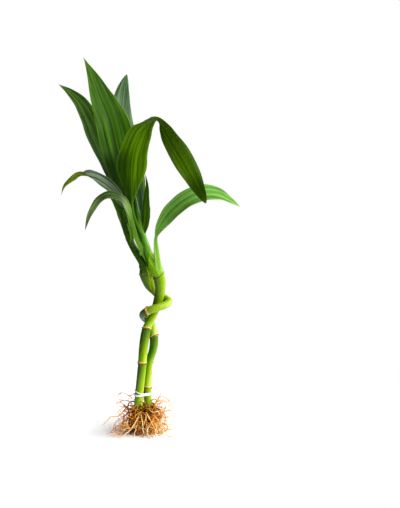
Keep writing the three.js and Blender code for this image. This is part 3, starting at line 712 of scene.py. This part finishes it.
def leaf_thickness(s, u, stalk, half):
    """Thin in the blade, thicker along the midrib and thickest in the petiole."""
    midrib = hump(u * half, 0, MIDRIB_HALF_WIDTH) * (1 - s) * (MIDRIB_THICKNESS - BLADE_THICKNESS)
    blade = BLADE_THICKNESS * (1 - 0.5 * u**2) + midrib
    petiole = PETIOLE_THICKNESS * (1 - 0.75 * u**2)
    return (blade + (petiole - blade) * stalk) * (1 - 0.6 * ease(s, 0.9, 1))


def make_leaf(name, leaf):
    share = np.linspace(0, 1, LEAF_ROWS + 1)
    place, across, up = leaf_directions(leaf, share)

    # s runs along the leaf from 0 to 1, and u across it from -1 to 1.
    s, blade, petiole, half = (row[:, None] for row in (share, *leaf_outline(leaf, share)))
    u = np.linspace(-1, 1, LEAF_COLUMNS + 1)[None, :]
    stalk = np.clip(petiole - blade, 0, 1)
    lift, folds = leaf_relief(leaf, s, u, blade, stalk, half)
    thick = leaf_thickness(s, u, stalk, half)
    middle = place[:, None, :] + across[:, None, :] * (u * half)[:, :, None]
    top = middle + up[:, None, :] * (lift + thick / 2)[:, :, None]
    low = middle + up[:, None, :] * (lift - thick / 2)[:, :, None]

    def both(value):
        """The same value on both faces, back across the lower one."""
        value = np.broadcast_to(value, lift.shape)
        return np.concatenate([value, value[:, ::-1]], axis=1)

    soup = Soup()
    soup.grid(
        np.concatenate([top, low[:, ::-1]], axis=1),
        across=both(u),
        side=both(u * half),
        along=both(s),
        upper=np.repeat([1.0, 0.0], LEAF_COLUMNS + 1),
        rib=both(0.5 - 0.5 * folds),
        stalk=both(np.clip(petiole * 1.6 - blade, 0, 1)),
    )
    piece = soup.piece(name + "_leaf", leaf_material(name, leaf))
    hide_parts(name)


# ---- cane material ----
def cane_material(name, cane):
    n = Nodes(bpy.data.materials.new(name + "_skin"))
    ring, bark = n.attribute("ring"), n.attribute("bark")
    turn, height = n.attribute("turn"), n.attribute("height")
    streaks = n.stretched(turn, 22, height, 0.035, detail=3)
    broad = n.stretched(turn, 2, height, 0.03, 5.0, detail=2)
    specks = n.noise(n.place(), scale=420, detail=2)

    # the internode attribute holds the tone between rings together with the painted side shade and light
    shade = n.plus(n.attribute("internode"), n.times(n.plus(broad, -0.5), 0.35))
    colour = n.mix(n.attribute("shoot"), n.ramp(shade, cane["tones"]), n.ramp(shade, cane["shoot_tones"]))
    colour = n.mix(n.attribute("sheath"), colour, n.ramp(streaks, cane["husk"]))
    colour = n.mix(n.ease(streaks, 0.5, 0.85, 0, 0.2), colour, STREAK_LIGHT)
    colour = n.mix(n.ease(streaks, 0.5, 0.2, 0, 0.35), colour, STREAK_DARK)
    colour = n.mix(n.ease(specks, 0.66, 0.8, 0, 0.35), colour, SPECK_COLOUR)

    # A ring is a ragged band of cork with pale wax above it. Without cork it is only a dark line.
    wax = n.times(n.ease(ring, 1.9, 0.9, 0, 0.85), n.ease(ring, 0, 0.4))
    colour = n.mix(n.times(wax, bark), colour, WAX_COLOUR)
    ragged = n.plus(n.math("ABSOLUTE", ring), n.times(n.plus(specks, -0.5), 0.8))
    band = n.times(n.ease(ragged, 0.95, 0.6), n.ease(bark, 0.05, 0.4, 0.5, 1.0))
    cork = n.mix(bark, BARE_RING_COLOUR, n.ramp(n.noise(n.place(), scale=300), CORK_TONES))
    colour = n.mix(band, colour, cork)

    # painted shade where the two canes come close, standing in for the shadow between them
    colour = n.mix(n.times(n.attribute("close"), PAINTED_CONTACT_SHADE_STRENGTH), colour, PAINTED_CONTACT_SHADE_COLOUR)
    for spot, tint in cane.get("scars", ()):
        away = n.vectors("MULTIPLY", n.vectors("SUBTRACT", n.place(), spot), SCAR_STRETCH)
        reach = n.plus(n.vectors("LENGTH", away), n.times(specks, 0.0012))
        colour = n.mix(n.ease(reach, 0.0026, 0.0012, 0, 0.75), colour, tint)

    normal = n.bump(specks, 0.00015, 0.25, n.bump(streaks, 0.0002, 0.5))
    roughness = n.plus(n.ease(streaks, 0.3, 0.8, 0.2, 0.3), n.ease(ragged, 0.9, 0.4, 0, 0.35))
    return n.finish(n.skin(colour, roughness, normal, shine=0.12))


# ---- cane shape ----
def cane_stations(length, at_rings):
    """Distances along a cane, close together near its rings."""
    stations = list(np.arange(0, length, CANE_STEP)) + [length]
    for at in at_rings:
        stations = [s for s in stations if abs(s - at) > RING_REACH]
        stations += list(np.arange(at - RING_REACH, at + RING_REACH, RING_STEP))
    return np.array(sorted(stations))


def degrees_apart(azimuth, middle):
    return np.abs((azimuth - middle + 180) % 360 - 180)


def ring_marks(cane, at_rings, along, turn, outward, azimuth, girth):
    """How far each point is from the nearest ring, and how much cork that ring has."""
    ring = np.full(azimuth.shape, FAR_FROM_RINGS)
    bark = np.zeros(azimuth.shape)
    for number, (at, look) in enumerate(zip(at_rings, cane["rings"])):
        lean_x, lean_y = look.get("tilt", (0, 0))
        tilt = girth * (lean_x * outward[:, :, 0] + lean_y * outward[:, :, 1])
        wobble = 0.14 * np.sin(turn + number * 2.1 + cane["seed"]) + 0.1 * np.sin(3 * turn + number)
        offset = along - at + tilt + wobble
        closer = np.abs(offset) < np.abs(ring)
        shown = np.full(azimuth.shape, float(look["bark"]))
        if "nubs" in look:
            apart = np.minimum(*[degrees_apart(azimuth, nub) for nub in look["nubs"]])
            shown = shown * hump(apart, 0, NUB_WIDTH)
            closer = closer & (shown > 0.15)
        ring = np.where(closer, offset, ring)
        bark = np.where(closer, shown, bark)
    return ring, bark


def sheath_shares(wrap, azimuth, height):
    """Where the sheath is, and where that is well inside its edges."""
    apart = degrees_apart(azimuth, wrap["middle"])
    low, high = wrap["low"], wrap["high"]
    edge = wrap["half"] * (1 - wrap["narrowing"] * ease(height, low, high))
    sheath = ease(apart, edge + 3, edge - 3) * ease(height, low, low + 1)
    return sheath * ease(height, high + 0.6, high - 0.6), ease(apart, edge - 2, edge - 9)


def internode_shade(cane, at_rings, along, length, height):
    """How dark the skin is, starting anew above each ring that runs all the way round."""
    whole = [at for at, look in zip(at_rings, cane["rings"]) if "nubs" not in look]
    stops = np.array([-BELOW_START] + whole + [length + ABOVE_END])
    lower = np.clip(np.searchsorted(stops, along, side="right") - 1, 0, len(stops) - 2)
    share = (along - stops[lower]) / (stops[lower + 1] - stops[lower])
    shade = BASE_TONE + share * np.array(cane["depths"])[lower]
    low, high, amount = cane.get("bright", NO_CHANGE)
    return shade * (1 - amount * ease(height, low, high) * (height < cane["shoot"]))


def painted_contact_shade(points, other):
    """How close each point is to the other cane's skin, 1 where they touch: the mask of painted shade between
    the canes.
    """
    line = dense_route(other["axis"])[0][::GAP_STRIDE]
    girth = value_at(other["radii"], line[:, 2])
    gaps = [(np.linalg.norm(ring[:, None, :] - line, axis=2) - girth).min(axis=1) for ring in points]
    return ease(np.array(gaps), CONTACT_REACH, CONTACT_GAP)


def make_cane(name, cane, other):
    line, far = dense_route(cane["axis"])
    length, seed = far[-1], cane["seed"]
    at_rings = [float(np.interp(ring["height"], line[:, 2], far)) for ring in cane["rings"]]
    shoot_start = float(np.interp(cane["shoot"], line[:, 2], far))
    stations = cane_stations(length, at_rings)
    place, ahead = along_route(cane["axis"], stations)
    outward = outward_rings(carried_sides(ahead), ahead, CANE_SIDES)
    azimuth = np.degrees(np.arctan2(outward[:, :, 1], outward[:, :, 0]))
    turn = np.linspace(0, 2 * np.pi, CANE_SIDES, endpoint=False)[None, :]
    along, height = stations[:, None], place[:, 2:]
    girth = value_at(cane["radii"], height)

    ring, bark = ring_marks(cane, at_rings, along, turn, outward, azimuth, girth)
    sheath, inner = sheath_shares(cane["sheath"], azimuth, height)
    ring = np.where(sheath > 0.5, np.maximum(np.abs(ring), UNDER_SHEATH), ring)
    lumpy = 1 + 0.22 * np.sin(5 * turn + seed) + 0.15 * np.sin(9 * turn + 2 * seed)
    ridge = RIDGE_RISE * (0.35 + 0.65 * bark) * lumpy * hump(ring, 0, RIDGE_WIDTH)
    swell = hump(ring, 0, SWELL_WIDTH, SWELL_RISE)
    grooves = hump(ring, 1.1, 0.35, -0.12) + hump(ring, -1.0, 0.3, -0.1)
    drift = 0.05 * np.sin(2 * turn + along / 23 + seed) + 0.04 * np.sin(3 * turn - along / 31)
    radius = girth + ridge + swell + grooves + drift + SHEATH_RISE * sheath
    points = place[:, None, :] + outward * radius[:, :, None]

    shade = internode_shade(cane, at_rings, along, length, height)
    on_shoot = ease(height, cane["shoot"] - 2, cane["shoot"] + 1)
    soup = Soup()
    soup.grid(
        points,
        # internode also carries painted shade on each cane's left and painted light on its right
        internode=shade - PAINTED_SIDE_SHADE * outward[:, :, 0],
        ring=ring,
        bark=bark,
        turn=np.abs(turn / np.pi - 1),
        height=along,
        shoot=(along > shoot_start) * 1.0,
        sheath=sheath * (0.45 + 0.55 * inner) * (0.48 + 0.52 * on_shoot),
        # close is the mask of painted shade between the canes
        close=painted_contact_shade(points, other),
    )
    piece = soup.piece(name + "_stem", cane_material(name, cane))
    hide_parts(name)


# ---- roots ----
def root_material():
    n = Nodes(bpy.data.materials.new("root_skin"))
    tone = n.attribute("tone")
    grain = n.noise(n.place(), scale=260, detail=3)
    pale = n.plus(n.times(n.attribute("tip"), 0.3), n.times(tone, 0.7), n.times(n.plus(grain, -0.5), 0.35))
    # painted shade inside the root mass, near the canes' feet and low down, where roots are less pale
    inside = n.times(n.attribute("inside"), n.ease(tone, 0.78, 0.4, 0, 0.9))
    colour = n.mix(inside, n.ramp(pale, ROOT_TONES), PAINTED_ROOT_CORE_SHADE)
    roughness = n.ease(grain, 0.3, 0.7, 0.45, 0.7)
    skin = n.skin(colour, roughness, n.bump(grain, 0.0003, 0.6), shine=0.05)
    return n.finish(n.glowing(0.16, skin, colour))


def tone_at(random, end):
    """How pale a root is: paler in front and far out, and paler to the right, partly as painted light from
    that side.
    """
    side = 0.5 + 0.5 * np.clip(end[0] / 30, -1, 1)
    front = 0.5 - 0.5 * np.clip(end[1] / 30, -1, 1)
    out = np.clip((math.hypot(end[0], end[1]) - 16) / 14, 0, 1)
    return float(np.clip(random.normal(0.04 + 0.44 * side**1.4 + 0.08 * front + 0.28 * out, 0.22), 0, 1))


def shaken_path(random, path):
    """Close points along a path, each a little out of place except at its start."""
    line, far = dense_route(path)
    stations = np.arange(0, far[-1], SHAKEN_STEP)
    place = rows_at(stations, far, line)
    shake = random.normal(0, SHAKE, place.shape)
    return place + shake * np.minimum(stations, STEADY_START)[:, None] / STEADY_START


def wander(random, start, heading, goal, steps, pull, curl, floor):
    """A wiry path from start, first along heading and then more and more towards goal."""
    place, way = np.array(start, float), unit(np.array(heading, float))
    bend = random.normal(0, 1, 3)
    path = [place.copy()]
    for _ in range(steps):
        bend = 0.75 * bend + random.normal(0, 1, 3)
        towards = unit(goal - place)
        way = unit(way + pull * towards + curl * bend)
        place = place + way * ROOT_STEP
        place[2] = min(place[2], DOME_HEIGHT + 1)
        if place[2] < floor:
            place[2] = floor + 0.15 * abs(random.normal())
            way[2] = abs(way[2]) * 0.2
        path.append(place.copy())
        if np.linalg.norm(goal - place) < 2:
            break
    return np.array(path)


def add_root(soup, path, thick, thin, sides, tone, tip_from=0.0):
    """A root from thick to thin. Its paleness towards the tip starts at tip_from."""
    length = np.linalg.norm(np.diff(path, axis=0), axis=1).sum()
    share = np.linspace(0, 1, max(int(length / RING_SPACING), 6))
    places, ahead = along_route(path, share * route_length(path))
    radius = thick + (thin - thick) * share**0.8
    radius = radius * (1 - 0.6 * ease(share, 0.93, 1.0))
    lumps = 1 + 0.10 * np.sin(share * length * 1.3 + tone * 20) + 0.06 * np.sin(share * length * 3.1)
    places[:, 2] = np.maximum(places[:, 2], radius * 1.05)
    ring = tube(places, carried_sides(ahead), ahead, radius * lumps, sides)
    ring[:, :, 2] = np.maximum(ring[:, :, 2], 0.02)
    # inside marks where painted shade darkens the middle of the root mass
    inside = ease(np.hypot(places[:, 0] + 2, places[:, 1] + 1), 21, 12) * ease(places[:, 2], 36, 26)
    soup.grid(ring, tip=(tip_from + (1 - tip_from) * share)[:, None], tone=tone, inside=inside[:, None])


def add_random_root(soup, random, foot, reaches, rises, girths, twigs):
    """A root from a cane's foot towards a random place, with its side roots."""
    azimuth = random.uniform(0, 2 * np.pi)
    out = np.array([math.cos(azimuth), math.sin(azimuth)])
    reach, rise, thick = (random.uniform(*span) for span in (reaches, rises, girths))
    rise = min(rise, DOME_HEIGHT * math.sqrt(max(1 - (reach / DOME_RADIUS) ** 2, 0.02)))
    start = np.array([*(foot + out * random.uniform(1.5, 4.5)), random.uniform(8, 32)])
    goal = np.array([*(out * reach), rise])
    heading = np.array([*(0.8 * out + random.normal(0, 0.35, 2)), random.uniform(-0.7, 0.5)])
    steps = int(random.uniform(1.2, 1.7) * np.linalg.norm(goal - start) / ROOT_STEP) + 3
    path = wander(random, start, heading, goal, steps, pull=0.24, curl=0.15, floor=0.5)
    tone = tone_at(random, path[-1])
    add_root(soup, path, thick, ROOT_TIP, ROOT_SIDES, tone)
    for _ in range(random.integers(*twigs)):
        at = random.integers(len(path) // 3, len(path))
        before = path[max(at - 1, 0)] - path[max(at - 2, 0)]
        away = unit(unit(before + 1e-6) + random.normal(0, 0.8, 3))
        end = path[at] + away * random.uniform(4, 11)
        end[:2] *= min(1, ROOT_SPREAD / max(np.linalg.norm(end[:2]), 1e-6))
        end[2] = np.clip(end[2], 0.4, DOME_HEIGHT)
        twig = wander(random, path[at], away, end, 8, pull=0.2, curl=0.3, floor=0.35)
        add_root(soup, twig, thick * 0.5, ROOTLET_TIP, ROOTLET_SIDES, min(tone + 0.2, 1), tip_from=0.35)


def make_roots():
    random = np.random.default_rng(ROOT_SEED)
    soup = Soup()
    for count, *kind in ROOT_KINDS:
        for number in range(count):
            add_random_root(soup, random, np.array(CANE_FEET[number % 2]), *kind)
    for thick, tone, *path in SEEN_ROOTS:
        add_root(soup, shaken_path(random, path), thick, SEEN_TIP, SEEN_SIDES, tone)
    piece = soup.piece("roots", root_material())
    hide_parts("root_mass")


# ---- tie ----
def thread_material():
    n = Nodes(bpy.data.materials.new("thread_skin"))
    twist = n.math("SINE", n.plus(n.attribute("around"), n.times(n.attribute("length"), 5.5)))
    fuzz = n.noise(n.place(), scale=900, detail=3)
    colour = n.mix(n.ease(twist, -1, 0.2), *THREAD_TONES)
    normal = n.bump(n.plus(twist, fuzz), 0.00012, 0.7)
    return n.finish(n.skin(colour, n.ease(fuzz, 0.3, 0.7, 0.4, 0.6), normal))


def turn_of_thread(seat, sag, rise):
    """The middle line of a turn of thread, pulled tight round both canes."""
    angle = np.linspace(0, 2 * np.pi, THREAD_STEPS, endpoint=False)
    out = np.stack([np.cos(angle), np.sin(angle)], axis=1)
    side = np.stack([-np.sin(angle), np.cos(angle)], axis=1)
    height = TIE_HEIGHT - sag * np.maximum(-np.sin(angle), 0) + rise * (1 - np.cos(angle)) / 2
    reach = []
    for cane in (STRAIGHT_CANE, COILED_CANE):
        line = dense_route(cane["axis"])[0]
        centre = rows_at(height, line[:, 2], line[:, :2])
        reach.append((centre * out).sum(axis=1) + value_at(cane["radii"], height) + seat)
    support = np.maximum(*reach)
    slope = (np.roll(support, -1) - np.roll(support, 1)) / (angle[2] - angle[0])
    return np.column_stack([out * support[:, None] + side * slope[:, None], height])


def add_strand(soup, line, radius):
    ahead = unit(np.roll(line, -1, axis=0) - np.roll(line, 1, axis=0))
    sideways = unit(np.cross(ahead, [0.0, 0.0, 1.0]))
    loop, ahead, sideways = (np.vstack([rows, rows[:1]]) for rows in (line, ahead, sideways))
    angle = np.linspace(0, 2 * np.pi, THREAD_SIDES, endpoint=False)
    ring = tube(loop, sideways, ahead, radius, THREAD_SIDES)
    soup.grid(ring, caps=False, around=angle[None, :], length=distances(loop)[:, None])


def make_tie():
    soup = Soup()
    for seat, sag, rise, shift, radius in STRANDS:
        add_strand(soup, turn_of_thread(seat, sag, rise) + [0, 0, shift], radius)
    piece = soup.piece("thread_tie", thread_material())
    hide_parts("tie")


# ---- setting ----
def make_floor():
    bpy.ops.mesh.primitive_circle_add(vertices=96, radius=FLOOR_RADIUS, fill_type="NGON")
    floor = bpy.context.object
    floor.name = "floor"
    n = Nodes(bpy.data.materials.new("floor_paint"))
    colour = n.mix(n.noise(n.place(), scale=40, detail=2), *FLOOR_TONES)
    floor.data.materials.append(n.finish(n.skin(colour, 0.9, shine=0.1)))


def make_world():
    """White where the camera sees it. As light it is brighter from the right."""
    n = Nodes(bpy.data.worlds.new("studio"))
    towards = n.add("ShaderNodeTexCoord").outputs["Generated"]
    strength = n.ease(n.vectors("DOT_PRODUCT", towards, WORLD_FROM), -0.6, 0.8, WORLD_DARK, WORLD_BRIGHT)
    light = n.add("ShaderNodeBackground", {"Color": (1, 1, 1, 1), "Strength": strength}).outputs[0]
    seen = n.add("ShaderNodeBackground", {"Color": (1, 1, 1, 1), "Strength": 1.0}).outputs[0]
    camera_ray = n.add("ShaderNodeLightPath").outputs["Is Camera Ray"]
    bpy.context.scene.world = n.finish(n.blend(camera_ray, light, seen), "ShaderNodeOutputWorld")


def make_lights():
    sun = new_object("sun", bpy.data.lights.new("sun", "SUN"))
    sun.data.energy, sun.data.angle = SUN_LIGHT, SUN_WIDTH
    sun.rotation_euler = Vector(SUN_FROM).to_track_quat("Z", "Y").to_euler()
    for name, (place, size, power) in LAMPS.items():
        lamp = new_object(name, bpy.data.lights.new(name, "AREA"))
        lamp.data.shape, lamp.data.size, lamp.data.energy = "DISK", size, power
        lamp.location = place
        lamp.rotation_euler = (Vector(LAMP_AIM) - Vector(place)).to_track_quat("-Z", "Y").to_euler()


def make_camera():
    camera = new_object("camera", bpy.data.cameras.new("camera"))
    camera.data.lens, camera.data.sensor_width = CAMERA_LENS, CAMERA_SENSOR
    back = Vector((0, -math.cos(CAMERA_ELEVATION), math.sin(CAMERA_ELEVATION)))
    camera.location = Vector(CAMERA_AIM) + back * CAMERA_DISTANCE
    camera.rotation_euler = (-back).to_track_quat("-Z", "Y").to_euler()
    bpy.context.scene.camera = camera


view = bpy.context.scene.view_settings
view.view_transform, view.look = "Standard", "None"
make_camera()
make_floor()
make_world()
make_lights()
make_cane("cane_straight", STRAIGHT_CANE, COILED_CANE)
make_cane("cane_coiled", COILED_CANE, STRAIGHT_CANE)
for leaf_name, leaf in LEAVES.items():
    make_leaf(leaf_name, leaf)
make_roots()
make_tie()
bpy.context.view_layer.update()
